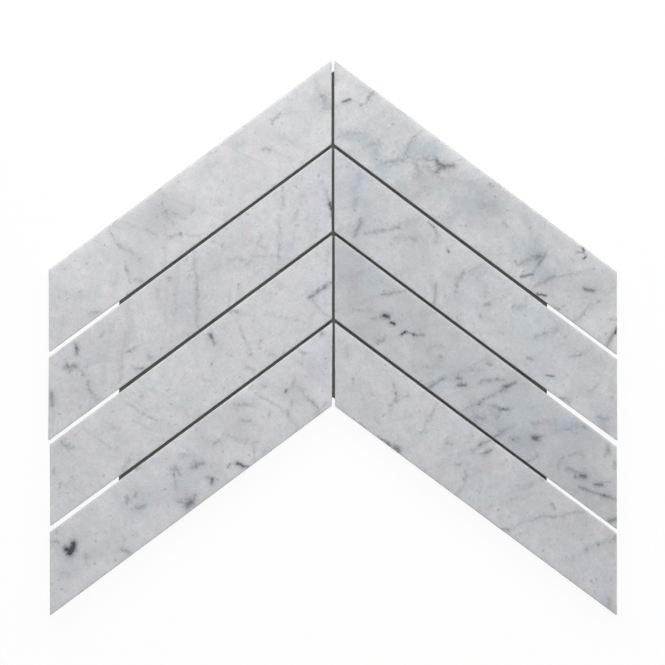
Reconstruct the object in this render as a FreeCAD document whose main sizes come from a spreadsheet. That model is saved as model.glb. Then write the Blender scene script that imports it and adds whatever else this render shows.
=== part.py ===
import FreeCAD, Part
import Sketcher
import os

# A chevron wall tile sheet: mitred marble strips in matching left and right wings, laid row
# under row on one net. It lies flat with the honed face up, the peak of the chevron towards +Y.
# The origin is the middle of the sheet's outline, on the underside of the net.

# Driving dimensions: alias, value, meaning. Lengths are in millimetres, the slope in degrees.
SIZES = (
    ("strip_length", 199, "long edge of a strip"),
    ("strip_width", 38, "between the long edges of a strip"),
    ("strip_thickness", 10, "honed face to sawn back"),
    ("wing_slope", 36.7, "fall of a long edge below the horizontal, outwards"),
    ("arris_radius", 0.5, "rounding of the edges of the honed face"),
    ("bed_joint", 1.5, "between one row and the next, square to the long edges"),
    ("peak_joint", 1.5, "between the left wing and the right wing"),
    ("net_thickness", 0.6, "net with its adhesive"),
    ("net_end_margin", 39.5, "from a side of the net to the strips' outer ends"),
    ("net_peak_margin", 5.3, "from the top of the first row down to the net, square to the edge"),
    ("net_notch_margin", 3.5, "from the net down to the foot of the last row, square to the edge"),
    ("slip_row_1", -0.4, "how far the first row is laid to the right of the middle"),
    ("slip_row_2", -0.2, "the same for the second row"),
    ("slip_row_3", 0.15, "the same for the third row"),
    ("slip_row_4", 0.4, "the same for the last row"),
)
ROWS = sum(alias.startswith("slip_row_") for alias, value, meaning in SIZES)

# Lengths that follow from the driving dimensions, as expressions on the sheet of sizes.
SLOPE = "(Sizes.wing_slope * 1deg)"
WING_RUN = f"(Sizes.strip_length * cos({SLOPE}))"
WING_DROP = f"(Sizes.strip_length * sin({SLOPE}))"
END_CUT = f"(Sizes.strip_width / cos({SLOPE}))"
ROW_PITCH = f"((Sizes.strip_width + Sizes.bed_joint) / cos({SLOPE}))"
PEAK_Y = f"(({WING_DROP} + {END_CUT} + {ROWS - 1} * {ROW_PITCH}) / 2)"
NET_HALF_WIDTH = f"(Sizes.peak_joint / 2 + {WING_RUN} - Sizes.net_end_margin)"
# A long edge of either wing, drawn on to the middle of the sheet, meets it this much higher.
MIDDLE_RISE = f"(Sizes.peak_joint / 2 * tan({SLOPE}))"

RIGHT, LEFT = 1, -1
WINGS = ((LEFT, "left"), (RIGHT, "right"))
# A sketch counts its own X and Y axes as lines -1 and -2, and the two ends of a line as 1 and 2.
X_AXIS, Y_AXIS = range(-1, -3, -1)
START, END = range(1, 3)
ORIGIN = (X_AXIS, START)


def sheet_of_sizes(doc):
    """The spreadsheet that every sketch, pad and placement reads."""
    sheet = doc.addObject("Spreadsheet::Sheet", "Sizes")
    for row, (alias, value, meaning) in enumerate(SIZES, start=1):
        sheet.set(f"A{row}", alias)
        sheet.set(f"B{row}", str(value))
        sheet.set(f"C{row}", meaning)
        sheet.setAlias(f"B{row}", alias)
    doc.recompute()
    return sheet


def sketch_on_floor(body, name):
    """An empty sketch on the body's own XY plane."""
    sketch = body.newObject("Sketcher::SketchObject", name)
    plane = next(f for f in body.Origin.OriginFeatures if f.Role == "XY_Plane")
    sketch.AttachmentSupport = [(plane, "")]
    sketch.MapMode = "FlatFace"
    return sketch


def closed_outline(sketch, corners):
    """Straight lines round roughly placed corners. The dimensions then set their real places."""
    points = [FreeCAD.Vector(x, y, 0) for x, y in corners]
    for here, there in zip(points, points[1:] + points[:1]):
        sketch.addGeometry(Part.LineSegment(here, there), False)
    for line in range(len(points)):
        after = (line + 1) % len(points)
        sketch.addConstraint(Sketcher.Constraint("Coincident", line, END, after, START))


def dimension(sketch, name, expression, *constraint):
    """A named dimension of the sketch, driven by the sheet of sizes."""
    length = sketch.evalExpression(expression)
    index = sketch.addConstraint(Sketcher.Constraint(*constraint, length))
    sketch.renameConstraint(index, name)
    sketch.setExpression(f"Constraints.{name}", expression)


def pad(body, sketch, thickness):
    """The sketch made solid upwards."""
    solid = body.newObject("PartDesign::Pad", f"{body.Name}_pad")
    solid.Profile = sketch
    solid.setExpression("Length", thickness)
    sketch.Visibility = False
    return solid


def upper_edges(shape):
    """Names of the edges round the top face of a padded solid."""
    top = shape.BoundBox.ZMax
    return [
        f"Edge{number}"
        for number, edge in enumerate(shape.Edges, start=1)
        if all(abs(vertex.Z - top) < 1e-6 for vertex in edge.Vertexes)
    ]


def strip_outline(body, side):
    """A parallelogram with plumb ends. Its inner upper corner is the body's origin."""
    sketch = sketch_on_floor(body, f"{body.Name}_outline")
    corners = [(0, 0), (side, -1), (side, -2), (0, -1)]
    closed_outline(sketch, corners)
    upper, outer_end, lower, inner_end = range(4)
    sketch.addConstraint(Sketcher.Constraint("Coincident", upper, START, *ORIGIN))
    for end in (outer_end, inner_end):
        sketch.addConstraint(Sketcher.Constraint("Vertical", end))
    sketch.addConstraint(Sketcher.Constraint("Parallel", upper, lower))
    run = (upper, START, upper, END) if side == RIGHT else (upper, END, upper, START)
    dimension(sketch, "run", WING_RUN, "DistanceX", *run)
    dimension(sketch, "drop", WING_DROP, "DistanceY", upper, END, upper, START)
    dimension(sketch, "cut", END_CUT, "DistanceY", inner_end, START, inner_end, END)
    return sketch


def marble_strip(doc, side, wing, row):
    """One strip: sawn parallelogram with the edges of its honed face eased."""
    body = doc.addObject("PartDesign::Body", f"strip_{wing}_{row}")
    slab = pad(body, strip_outline(body, side), "Sizes.strip_thickness")
    doc.recompute()
    eased = body.newObject("PartDesign::Fillet", f"{body.Name}_arris")
    eased.Base = (slab, upper_edges(slab.Shape))
    eased.setExpression("Radius", "Sizes.arris_radius")
    body.Tip = eased
    body.setExpression("Placement.Base.x", f"{side} * Sizes.peak_joint / 2 + Sizes.slip_row_{row}")
    body.setExpression("Placement.Base.y", f"{PEAK_Y} - {row - 1} * {ROW_PITCH}")
    body.setExpression("Placement.Base.z", "Sizes.net_thickness")
    return body


def net_outline(body):
    """A chevron with plumb ends, symmetric about the Y axis."""
    sketch = sketch_on_floor(body, f"{body.Name}_outline")
    corners = [(0, 2), (1, 1), (1, -2), (0, -1), (-1, -2), (-1, 1)]
    closed_outline(sketch, corners)
    upper_right, right_end, lower_right, lower_left, left_end, upper_left = range(6)
    for line in (upper_right, lower_left):
        sketch.addConstraint(Sketcher.Constraint("PointOnObject", line, START, Y_AXIS))
    sketch.addConstraint(Sketcher.Constraint("Vertical", right_end))
    for right_line, left_line in ((upper_right, left_end), (right_end, lower_left)):
        mirrored = ("Symmetric", right_line, END, left_line, END, Y_AXIS)
        sketch.addConstraint(Sketcher.Constraint(*mirrored))
    sketch.addConstraint(Sketcher.Constraint("Parallel", upper_right, lower_right))
    peak = f"{PEAK_Y} + {MIDDLE_RISE} - Sizes.net_peak_margin / cos({SLOPE})"
    foot = f"{PEAK_Y} + {MIDDLE_RISE} - {ROWS - 1} * {ROW_PITCH} - {END_CUT}"
    notch = f"-({foot} + Sizes.net_notch_margin / cos({SLOPE}))"
    fall = f"{NET_HALF_WIDTH} * tan({SLOPE})"
    dimension(sketch, "half_width", NET_HALF_WIDTH, "DistanceX", *ORIGIN, right_end, START)
    dimension(sketch, "peak", peak, "DistanceY", *ORIGIN, upper_right, START)
    dimension(sketch, "fall", fall, "DistanceY", upper_right, END, upper_right, START)
    dimension(sketch, "notch", notch, "DistanceY", lower_left, START, *ORIGIN)
    return sketch


def net_backing(doc):
    """The one sheet that carries every strip."""
    body = doc.addObject("PartDesign::Body", "net_backing")
    body.Tip = pad(body, net_outline(body), "Sizes.net_thickness")
    return body


def check(doc, bodies):
    """Stops before anything is written if a feature failed or a body isn't one sound solid."""
    for item in doc.Objects:
        if {"Invalid", "Error"} & set(item.State):
            raise RuntimeError(f"{item.Label} failed: {item.State}")
    for body in bodies:
        shape = body.Shape
        if shape.isNull() or not shape.isValid() or len(shape.Solids) != 1:
            raise RuntimeError(f"{body.Label} is not one valid solid")


def main():
    doc = FreeCAD.newDocument("chevron_wall_tile")
    sheet_of_sizes(doc)
    bodies = [net_backing(doc)]
    for side, wing in WINGS:
        for row in range(1, ROWS + 1):
            bodies.append(marble_strip(doc, side, wing, row))
    doc.recompute()
    check(doc, bodies)
    os.makedirs("parts", exist_ok=True)
    for body in bodies:
        body.Shape.exportStep(f"parts/{body.Label}.step")


main()
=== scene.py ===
"""Looks of a chevron mosaic sheet: honed white marble strips on a net bedded in adhesive."""

import math

import bmesh
import bpy
import numpy as np
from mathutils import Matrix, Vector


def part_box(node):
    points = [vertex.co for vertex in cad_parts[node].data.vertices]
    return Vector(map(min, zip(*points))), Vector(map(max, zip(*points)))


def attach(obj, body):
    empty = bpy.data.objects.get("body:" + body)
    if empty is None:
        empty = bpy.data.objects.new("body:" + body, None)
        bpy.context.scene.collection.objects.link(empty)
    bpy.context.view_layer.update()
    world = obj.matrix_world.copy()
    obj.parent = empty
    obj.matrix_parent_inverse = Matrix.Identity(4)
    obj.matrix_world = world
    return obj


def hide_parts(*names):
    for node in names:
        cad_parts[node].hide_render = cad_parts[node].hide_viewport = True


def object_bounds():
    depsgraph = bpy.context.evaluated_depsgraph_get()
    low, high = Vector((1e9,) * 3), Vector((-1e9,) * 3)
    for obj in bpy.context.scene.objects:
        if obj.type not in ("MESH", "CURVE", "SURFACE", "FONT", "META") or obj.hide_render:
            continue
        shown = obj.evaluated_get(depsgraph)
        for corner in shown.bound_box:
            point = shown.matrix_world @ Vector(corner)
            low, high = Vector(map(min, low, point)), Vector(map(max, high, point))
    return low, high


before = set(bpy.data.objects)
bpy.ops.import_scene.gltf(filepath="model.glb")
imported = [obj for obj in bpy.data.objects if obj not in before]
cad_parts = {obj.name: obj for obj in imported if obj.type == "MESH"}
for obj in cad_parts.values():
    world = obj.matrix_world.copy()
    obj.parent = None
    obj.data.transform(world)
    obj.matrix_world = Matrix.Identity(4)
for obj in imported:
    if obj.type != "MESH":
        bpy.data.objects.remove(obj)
CAD_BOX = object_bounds()

MM = 0.001

# The setting-out that the frame's boxes don't say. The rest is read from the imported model.
WING_SLOPE = math.radians(36.7)
WINGS = {"left": -1, "right": 1}
ROWS = (1, 2, 3, 4)

# The photograph's frame: its side and where the middle of the sheet lies in it, in pixels.
PHOTO_SIDE_PX = 665
SHEET_MIDDLE_PX = (333.1, 338.6)
PIXEL = 0.564 * MM
PHOTO_ROLL = math.radians(0.13)
CAMERA_HEIGHT = 8.0


def linear(hex_colour):
    """An sRGB hex colour as linear red, green, blue and a full alpha."""
    channels = [int(hex_colour[i : i + 2], 16) / 255 for i in (1, 3, 5)]
    return [c / 12.92 if c <= 0.04045 else ((c + 0.055) / 1.055) ** 2.4 for c in channels] + [1.0]


def add(tree, kind, inputs=None, **settings):
    """One node with its settings. An input is linked where it is given a socket, and set where not."""
    made = tree.nodes.new(kind)
    for name, value in settings.items():
        setattr(made, name, value)
    for name, value in (inputs or {}).items():
        if isinstance(value, bpy.types.NodeSocket):
            tree.links.new(value, made.inputs[name])
        else:
            made.inputs[name].default_value = value
    return made


def new_material(name):
    """An empty node material."""
    material = bpy.data.materials.new(name)
    material.use_nodes = True
    material.node_tree.nodes.clear()
    return material


# Marble

# Grey minerals in each strip's honed face, as soft strokes. A stroke has its start and its end, both
# in millimetres along the strip from its inner upper corner and across it from its upper edge, then
# its half width and how dark it looks, from 0 for the white ground to 1 for graphite. Above 1 it
# has a flat middle.

# Veins, which bend and break off.
VEINS = {
    "left_1": (
        (14, 2, 17, 14, 1.4, 0.12), (16, 14, 18, 19, 3, 0.3), (34, 12, 42, 6.5, 1.3, 0.14),
        (42, 6.5, 46, 6.5, 1, 0.36), (47, 7, 48.5, 8, 0.9, 0.58), (52, 10, 56, 13, 2.5, 0.06),
        (57, 21, 61, 17, 1.5, 0.31), (52, 32, 56, 22, 1.8, 0.1), (45, 26, 49, 17, 2, 0.11),
        (46, 17, 47, 19, 1.4, 0.11), (66, 9, 72, 6, 1.8, 0.12), (67, 6, 68, 8, 1, 0.14),
        (86, 9, 93, 7, 1.6, 0.08), (86.5, 1, 87.5, 1.5, 1, 0.24), (97, 27, 99, 26, 1.8, 0.24),
        (82, 20, 84, 19, 1.6, 0.08), (112.5, 21.5, 114, 21.5, 1.3, 0.26), (108, 15, 110, 17, 2, 0.07),
        (124.7, 8, 125.3, 9, 1.1, 0.3), (126.5, 13, 127.5, 16, 1.6, 0.24),
        (127, 19, 127.5, 21.5, 1.2, 0.22), (126.6, 28.4, 127.4, 28.7, 1.1, 0.66),
        (128, 28, 133, 26, 1.4, 0.21), (119, 35, 124, 30, 1.3, 0.16), (151.5, 0.8, 153, 0.6, 1.2, 0.48),
        (152, 1, 146, 8, 1.3, 0.1), (146, 8, 142, 15, 1.3, 0.1), (142, 15, 138, 21, 1.3, 0.18),
        (139, 28, 144, 36, 1.2, 0.12), (156.8, 1, 158, 3, 1.1, 0.22), (158, 4, 158, 12, 1.8, 0.17),
        (158, 12, 155, 21, 1.6, 0.26), (163.5, 26, 166, 34, 1.2, 0.19), (160, 36, 163, 34, 1.6, 0.22),
        (173.5, 28, 175, 28, 1.4, 0.19), (168, 24, 171, 27, 1.8, 0.1), (191.5, 20, 193, 19.6, 1.2, 0.22),
        (202, 10, 188, 30, 1.8, 0.07), (190.5, 36, 193, 33, 1.9, 0.31), (208, 26, 214, 33, 2.2, 0.08),
        (216, 34, 219, 35, 1.4, 0.14),
    ),
    "left_2": (
        (15.8, 12, 16.2, 13.5, 1, 0.3), (17.4, 18.4, 19.4, 22.4, 1.4, 0.32), (36, 1, 42, 10, 1.5, 0.19),
        (30, 12, 34, 17, 2.4, 0.12), (37, 16, 40, 20, 2.2, 0.16), (49, 15, 52, 21, 1.4, 0.19),
        (52, 21, 57, 26, 1.6, 0.13), (56, 25, 63, 34, 1.3, 0.24), (62, 17, 67, 20, 2, 0.17),
        (64, 24, 66, 19, 1.4, 0.14), (67, 27, 73, 22, 1.4, 0.18), (79, 20, 85, 15, 1.3, 0.11),
        (75.5, 24, 76.5, 24.5, 1, 0.29), (82, 7, 83, 8, 1.2, 0.24), (88.5, 31, 89.5, 32.5, 1.1, 0.31),
        (98, 1, 101, 7, 1.9, 0.16), (101, 7, 105, 14, 1.5, 0.23), (105, 14, 111, 22, 1.3, 0.31),
        (111, 22, 117, 30, 1.4, 0.27), (117, 30, 121, 36, 1.6, 0.19), (103.5, 2, 104.5, 3, 1.1, 0.24),
        (107.3, 10, 108.5, 10.3, 1.1, 0.24), (116.8, 4, 118, 5, 1.2, 0.34), (127, 6, 129, 9, 1.8, 0.17),
        (132, 20, 134, 24, 2, 0.1), (145, 2, 149, 11, 2.8, 0.12), (166, 7, 168, 8, 1.4, 0.18),
        (150, 13, 162, 20, 2.6, 0.12), (162, 20, 172, 31, 1.8, 0.17), (160, 24.4, 161.6, 24, 1, 0.41),
        (152.6, 33, 154, 35, 1.5, 0.25), (160, 37, 163, 35.5, 1.5, 0.43), (168, 27, 170, 31, 1.5, 0.19),
        (170, 31, 176, 35, 1.5, 0.19), (181, 2, 183, 5, 1.2, 0.26), (192.5, 6, 192.5, 10, 1.1, 0.25),
        (190, 13, 189, 20.5, 1.5, 0.32), (192, 13, 194, 14, 1, 0.29), (183.5, 16, 185, 16.6, 1.2, 0.34),
        (189.5, 24, 190.5, 26, 1.4, 0.42), (190.5, 26, 191, 36, 1.7, 0.22),
        (200.5, 33, 202, 34, 1.4, 0.19), (215, 26, 221, 34, 2, 0.1),
    ),
    "left_3": (
        (8, 7, 11, 10, 1.5, 0.19), (15, 22, 20, 21.3, 1.3, 0.48), (24.6, 20.6, 25.4, 20.6, 0.9, 0.42),
        (31, 23, 29.5, 36, 1.5, 0.16), (44, 27, 51, 20, 1.6, 0.12), (62, 11, 69, 3.5, 1.3, 0.1),
        (68.5, 3.5, 71, 1.4, 1.4, 0.32), (73, 11, 75, 19, 1.2, 0.26), (75, 19, 77, 27, 1.2, 0.17),
        (68.4, 25, 69.4, 25.4, 1.1, 0.41), (71, 27, 72, 27.4, 1, 0.26), (66.5, 35, 68.5, 32, 1.3, 0.22),
        (81.5, 35, 84, 31.5, 2.2, 0.22), (97.6, 18.4, 98.6, 17.8, 1.2, 0.49),
        (104, 25, 107, 22, 1.4, 0.14), (121, 25, 124, 24, 2, 0.07), (139, 8.8, 142, 9, 1.4, 0.26),
        (149, 8, 146.5, 15, 1.2, 0.17), (145.8, 16.5, 146.4, 17.4, 1.1, 0.3),
        (146, 17.5, 142, 26, 1.2, 0.17), (152, 18, 149, 27, 1.5, 0.14), (160, 17, 165, 14, 1.8, 0.11),
        (168, 33, 174, 35.5, 1.8, 0.25), (191.5, 1.8, 192.5, 3.4, 1.1, 0.41), (192, 4, 190, 9, 2.2, 0.29),
        (188, 3, 190, 2, 1, 0.19), (205, 13, 207, 15, 1.5, 0.24), (207.6, 21, 208.6, 22, 1.1, 0.32),
        (3, 2, 6, 5, 2, 0.1),
    ),
    "left_4": (
        (8.5, 1.5, 9.8, 2.3, 1.2, 0.43), (22, 5, 25, 2, 1.4, 0.23), (25, 5, 28, 9, 1.8, 0.1),
        (36, 13, 40, 17, 1.5, 0.19), (37.5, 13.5, 38.5, 14.5, 1, 0.22), (38, 17, 36.5, 27, 1.5, 0.19),
        (36.5, 27, 35, 36, 1.6, 0.3), (30, 34, 39, 37, 1.8, 0.22), (58, 7, 54.5, 17, 1.4, 0.22),
        (54.5, 17, 52, 25, 1.4, 0.13), (51, 28, 51.5, 36, 1.4, 0.15), (58, 2, 60, 3, 1.2, 0.41),
        (51, 6, 54, 4, 2, 0.17), (63, 11, 72, 5, 2.6, 0.24), (66, 7, 70, 9, 1.2, 0.14),
        (70, 18, 75, 14, 1.8, 0.24), (59.5, 20, 61, 21.5, 1.4, 0.24), (81, 23, 87, 15, 1.5, 0.17),
        (91, 16, 94.5, 15.4, 1.5, 0.34), (78.5, 24, 80, 25.5, 1.3, 0.24), (75, 28, 83, 37, 1.3, 0.19),
        (73, 34, 76, 37, 1.5, 0.17), (93.5, 30, 95.5, 30.8, 1.1, 0.41), (109, 18, 111, 21, 1.4, 0.29),
        (108, 29, 110, 28, 1.1, 0.24), (111, 12, 114, 9, 2.2, 0.17), (122, 12, 124, 18, 1.4, 0.34),
        (124, 18, 126.5, 23, 1.4, 0.24), (120, 32.5, 122.5, 34, 1.5, 0.3), (128, 30, 124, 33, 1.2, 0.22),
        (136, 1.6, 138, 1, 1.2, 0.36), (145.4, 12, 147, 13, 1.6, 0.3), (147, 13, 152, 12, 1.4, 0.2),
        (152, 11.3, 154.5, 12.4, 1.7, 0.4), (150, 19, 154, 17.6, 1.8, 0.2), (167, 26, 169, 30, 1.6, 0.14),
        (195, 1.6, 196.5, 3, 1.3, 0.29), (198, 8, 201.5, 4, 1.5, 0.3), (190, 22, 192, 27, 2, 0.17),
        (204, 25, 207, 22, 1.8, 0.14),
    ),
    "right_1": (
        (29.5, 2, 29, 6, 1, 0.55), (29, 6, 27, 12, 1.1, 0.38), (31, 28, 35, 24.5, 2.8, 0.15),
        (44, 25, 48, 22, 2.8, 0.16), (49, 27, 51, 29, 2.4, 0.12), (63, 3, 62, 10, 1.3, 0.2),
        (62.5, 10, 63, 18, 1.3, 0.2), (64, 18.4, 71, 17.8, 1.3, 0.32), (71, 17.8, 76, 13.5, 1.2, 0.36),
        (88, 10, 89.5, 11.5, 1.1, 0.2), (72, 19, 77, 24, 2.4, 0.3), (77, 18, 80, 17, 1.5, 0.17),
        (64, 22, 58, 30, 2.8, 0.27), (87, 17.6, 89, 18, 1.2, 0.17), (118, 15, 121, 12, 2.4, 0.19),
        (132, 16, 134.5, 17.2, 1.5, 0.26), (112, 2, 114, 3, 1.4, 0.24), (97, 7, 101, 4, 2.4, 0.1),
        (160, 13.5, 161, 17, 1.3, 0.25), (158, 21, 151.5, 30, 1.8, 0.34), (160, 20, 155, 27, 1.8, 0.32),
        (188, 7, 180, 16, 1.3, 0.2), (180, 16, 173, 24, 1.3, 0.23), (173, 24, 166.5, 35, 1.5, 0.3),
        (174.4, 5, 176, 3.5, 1.1, 0.5), (174.8, 9, 176, 9.5, 1.2, 0.29), (172, 2, 174, 1, 1, 0.24),
        (177, 15, 179, 16, 1.5, 0.12), (204, 8, 201, 17, 1.7, 0.11), (201, 17, 198, 28, 1.7, 0.22),
        (198, 28, 196, 37, 1.3, 0.31), (212.5, 24, 217, 21, 1.5, 0.36), (182, 37.5, 186, 36, 1.3, 0.31),
    ),
    "right_2": (
        (27, 17, 29, 21, 1.6, 0.16), (35, 29, 33, 35, 2, 0.12), (63, 3, 56, 14, 3, 0.14),
        (56, 14, 49, 21, 1.7, 0.34), (49, 21, 43, 28, 1.5, 0.24), (67, 14, 58, 21, 2.4, 0.19),
        (69, 1, 73, 2.2, 1.3, 0.41), (74.5, 3, 78, 8, 1.6, 0.24), (106, 4, 101.5, 13, 1.8, 0.18),
        (101, 13, 101, 18.5, 1.9, 0.32), (101, 19, 104, 24, 1.6, 0.3), (89, 27, 93, 30, 2, 0.14),
        (110, 4, 105, 12, 1.5, 0.14), (115, 10, 118, 16, 2.4, 0.14), (113, 35, 115, 36, 1.8, 0.17),
        (135.5, 28, 139, 27, 1.4, 0.24), (135.5, 12, 140.5, 8, 2, 0.27), (138, 3, 140, 7, 2.4, 0.12),
        (162, 6, 155, 18, 2.2, 0.22), (184.5, 4, 181, 10, 2.2, 0.13), (181, 10, 178.5, 15, 1.8, 0.25),
        (158.5, 30, 161, 29, 1.3, 0.34), (188, 36.8, 192, 35, 1.6, 0.31), (197, 23, 199.5, 18, 1.9, 0.19),
        (211, 32, 215, 30, 1.7, 0.31), (213, 33, 219, 37, 2, 0.14),
    ),
    "right_3": (
        (65, 19.6, 69, 18.4, 0.7, 0.45), (70.5, 17.6, 72, 16.6, 0.8, 0.32),
        (45, 25.5, 49.5, 20.5, 1, 0.36), (43, 11, 47, 6, 1.5, 0.36), (47, 6, 51, 1, 1.5, 0.24),
        (33, 27, 41, 22, 1.6, 0.16), (54, 34, 58, 31, 2.4, 0.36), (80, 20, 86, 14, 2.4, 0.12),
        (90, 24, 85, 29, 2.4, 0.12), (100, 26, 106, 15, 2, 0.2), (103, 20, 112, 12, 2.6, 0.17),
        (97.5, 28.5, 101, 22, 1.5, 0.17), (116, 17, 119.5, 13.6, 1.6, 0.33),
        (119.5, 13.6, 122, 10.5, 1.2, 0.13), (128.6, 11, 126.5, 17, 1.8, 0.31),
        (122, 27, 124, 21, 1.7, 0.43), (124, 21, 127, 15, 1.8, 0.3), (126, 34, 128, 33, 1.6, 0.36),
        (134, 22.4, 138, 20, 1.3, 0.43), (140.5, 37, 142.4, 31, 1.6, 0.48),
        (142.4, 31, 146, 26, 1.6, 0.19), (147.6, 32.5, 152, 29, 1.6, 0.43),
        (160.5, 22.5, 162, 21, 1.1, 0.3), (152, 18.5, 159, 13.8, 1.5, 0.21),
        (159, 13.8, 163, 10, 2, 0.17), (172, 4, 178, 2, 1.8, 0.29), (170, 10, 172, 8, 1.5, 0.24),
        (163, 36, 166, 31, 2, 0.24), (180, 20, 184, 16, 1.4, 0.21), (184, 16, 188, 15.6, 1.1, 0.19),
        (188, 15.6, 189, 17, 1, 0.19), (178, 22, 179.5, 30, 1.8, 0.13), (190, 28, 191, 28.6, 1.2, 0.43),
        (205, 21, 208, 18, 1.4, 0.24), (209.5, 26.6, 220, 23, 1.4, 0.46), (196.5, 6, 196.5, 9, 1.4, 0.26),
        (203, 8.6, 204.4, 9.8, 1.4, 0.34),
    ),
    "right_4": (
        (27.6, 20, 28.6, 21, 1.3, 0.31), (14, 8, 17, 10, 2, 0.18), (46.5, 8, 51, 12, 1.6, 0.24),
        (51, 12, 54.5, 14.6, 1.7, 0.48), (53, 12.6, 58.5, 8, 1.5, 0.22), (53.6, 14, 53.6, 20, 1.5, 0.26),
        (50.5, 30.5, 54, 31, 2, 0.17), (73, 3, 75, 13, 2, 0.19), (75, 13, 77, 21, 1.8, 0.12),
        (75.8, 20.5, 77, 21.5, 1.3, 0.19), (91.5, 17, 93.2, 15.6, 1.5, 0.43),
        (59, 37.2, 66, 37, 1.2, 0.48), (68, 35, 71, 34.6, 1.2, 0.3), (46, 37, 49, 37, 1, 0.24),
        (108.6, 2, 107, 6, 1.6, 0.41), (112, 8, 111, 11, 1, 0.23), (102.4, 23, 103.6, 22, 1.4, 0.43),
        (111.5, 25, 113, 31, 1.4, 0.18), (113, 31, 112.6, 37.5, 1.5, 0.23), (141, 12, 144, 7, 1.8, 0.19),
        (145.6, 1, 147, 1.8, 1.3, 0.34), (176, 2, 167, 11, 1.6, 0.26), (167, 11, 158, 19, 1.4, 0.23),
        (158, 19, 152, 27, 1.4, 0.22), (152, 27, 148.5, 35, 1.2, 0.17), (159, 8.6, 162, 9.6, 1.6, 0.24),
        (198, 3, 194, 12, 1.6, 0.31), (194, 12, 190.5, 18, 1.3, 0.18), (178, 3, 182, 8, 2.4, 0.12),
        (184, 30, 188, 26, 2.4, 0.12), (217, 33, 222, 37, 2.2, 0.24),
    ),
}

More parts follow.
